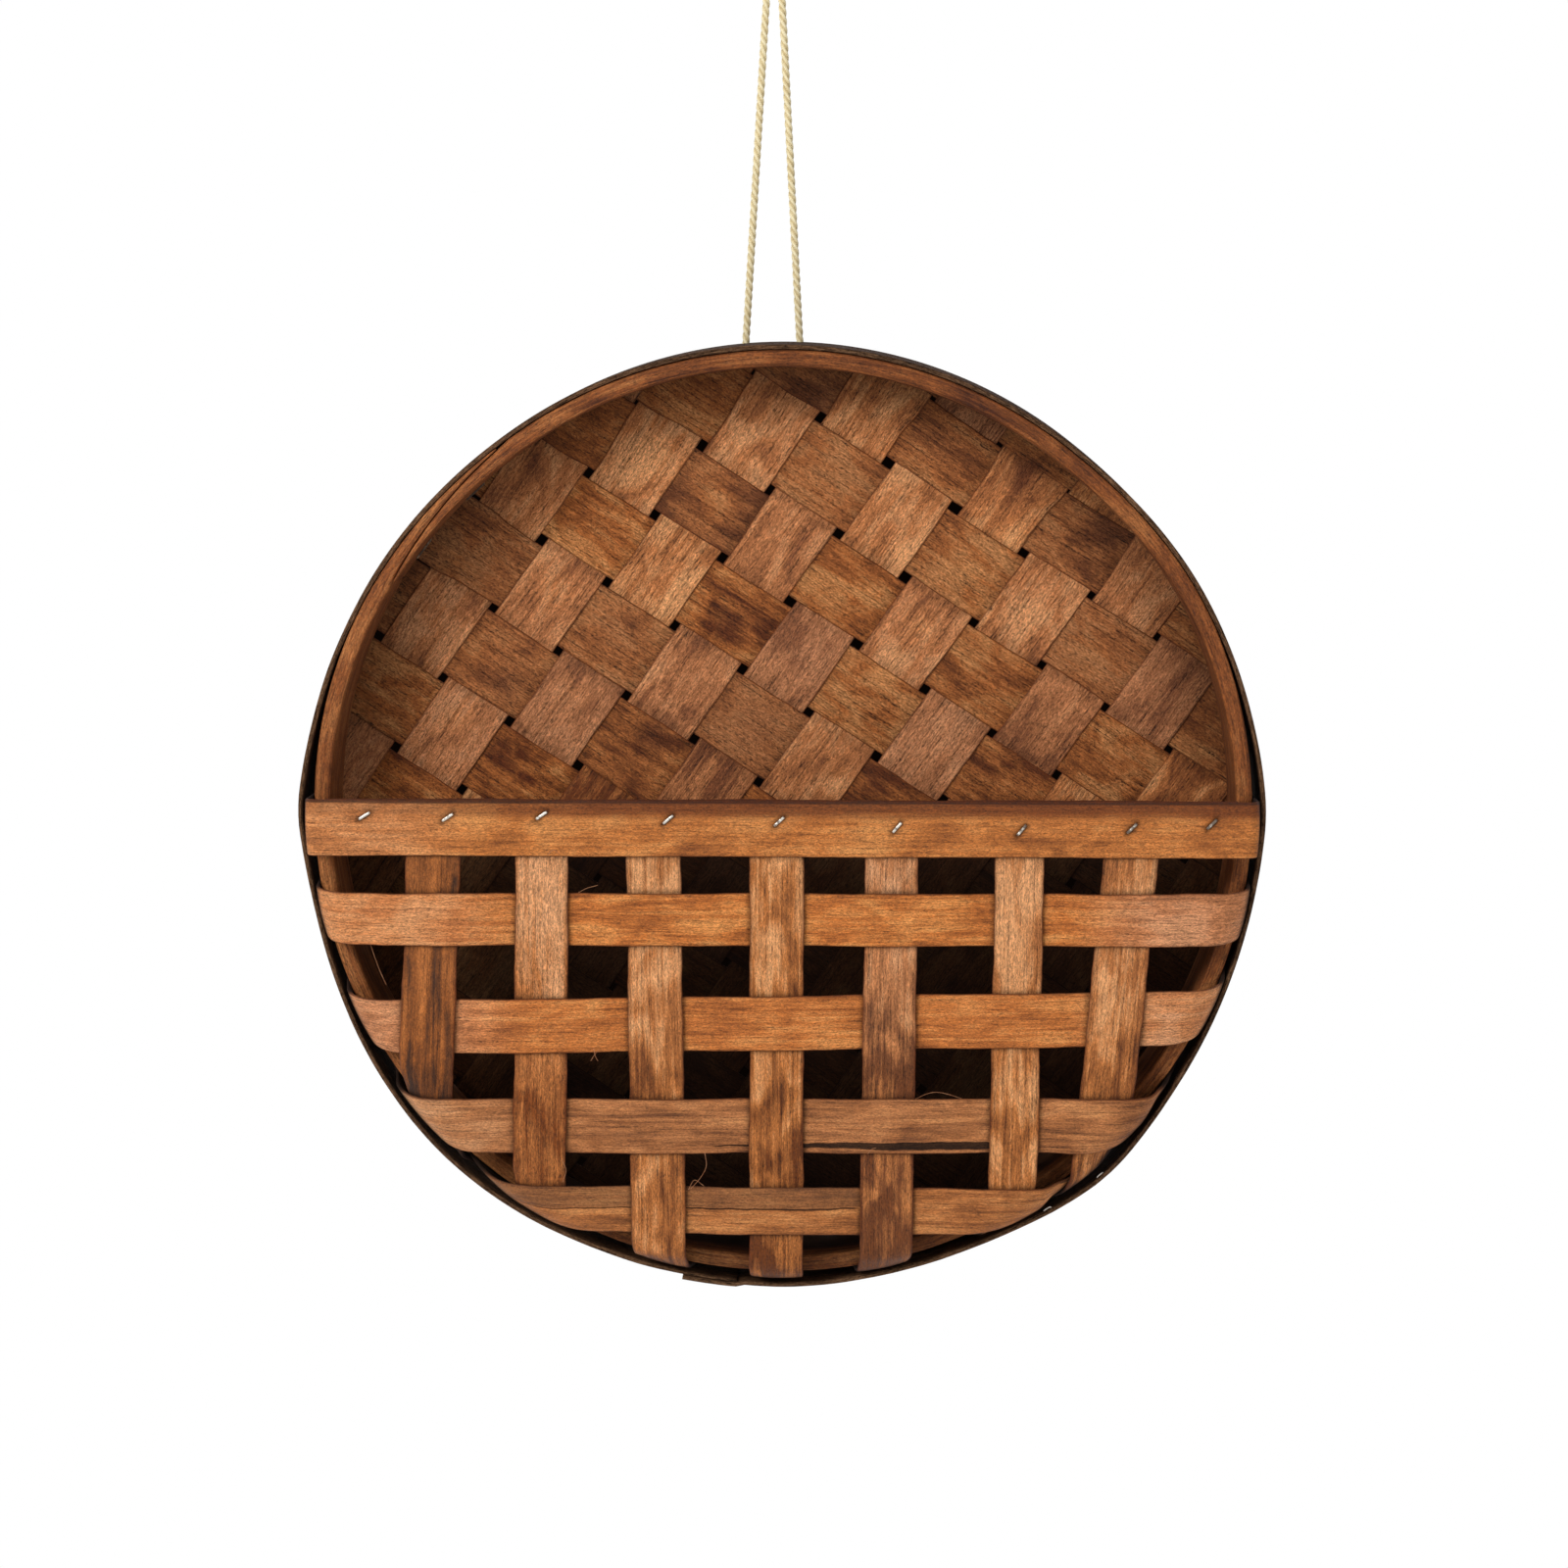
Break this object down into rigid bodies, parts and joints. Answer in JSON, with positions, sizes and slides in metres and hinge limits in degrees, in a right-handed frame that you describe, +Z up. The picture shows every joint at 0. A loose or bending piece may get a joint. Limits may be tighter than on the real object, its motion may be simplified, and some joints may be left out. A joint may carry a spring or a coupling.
{
  "type": "wall basket",
  "caption": "Round shallow wall basket of woven wood splints between two bent hoops, with an open woven pocket over the lower half and a twine hanger.",
  "frame": {"origin": "the point of the wall that the basket hangs from, where a nail behind the eye of the twine meets the wall; the hoops' centre is 361.6 mm below it and 4.3 mm to its right", "axes": "+X to the right, +Y into the wall, +Z up; the back edge of the outer hoop lies on the wall plane Y = 0"},
  "size_m": [0.4019, 0.0706, 0.5663],
  "materials": {
    "inner_hoop": "split wood, orange-brown, dry",
    "outer_hoop": "split wood, very dark brown, fibrous",
    "rim_band": "flat splint, orange tan, satin",
    "upright": "flat splint, warm tan, satin",
    "crosspiece": "flat splint, warm tan, satin",
    "mat_rising": "thin splint, greyish tan, matt",
    "mat_falling": "thin splint, red-brown, matt",
    "staple": "bright wire",
    "twine": "laid jute twine"
  },
  "bodies": {
    "root": {"inner_hoop": "inner_hoop", "outer_hoop": "outer_hoop", "rim_band_front": "rim_band", "rim_band_back": "rim_band", "upright_1": "upright", "upright_2": "upright", "upright_3": "upright", "upright_4": "upright", "upright_5": "upright", "upright_6": "upright", "upright_7": "upright", "crosspiece_1": "crosspiece", "crosspiece_2": "crosspiece", "crosspiece_3": "crosspiece", "crosspiece_4": "crosspiece", "mat_rising_splint_1": "mat_rising", "mat_rising_splint_2": "mat_rising", "mat_rising_splint_3": "mat_rising", "mat_rising_splint_4": "mat_rising", "mat_rising_splint_5": "mat_rising", "mat_rising_splint_6": "mat_rising", "mat_rising_splint_7": "mat_rising", "mat_rising_splint_8": "mat_rising", "mat_rising_splint_9": "mat_rising", "mat_rising_splint_10": "mat_rising", "mat_rising_splint_11": "mat_rising", "mat_falling_splint_1": "mat_falling", "mat_falling_splint_2": "mat_falling", "mat_falling_splint_3": "mat_falling", "mat_falling_splint_4": "mat_falling", "mat_falling_splint_5": "mat_falling", "mat_falling_splint_6": "mat_falling", "mat_falling_splint_7": "mat_falling", "mat_falling_splint_8": "mat_falling", "mat_falling_splint_9": "mat_falling", "mat_falling_splint_10": "mat_falling", "mat_falling_splint_11": "mat_falling", "mat_falling_splint_12": "mat_falling", "rim_staple_1": "staple", "rim_staple_2": "staple", "rim_staple_3": "staple", "rim_staple_4": "staple", "rim_staple_5": "staple", "rim_staple_6": "staple", "rim_staple_7": "staple", "rim_staple_8": "staple", "rim_staple_9": "staple", "inner_lap_staple_1": "staple", "inner_lap_staple_2": "staple", "outer_lap_staple_1": "staple", "outer_lap_staple_2": "staple", "twine_left": "twine", "twine_right": "twine", "twine_eye": "twine", "twine_top_knot": "twine", "twine_end_knot_left": "twine", "twine_end_knot_right": "twine"}
  },
  "joints": []
}
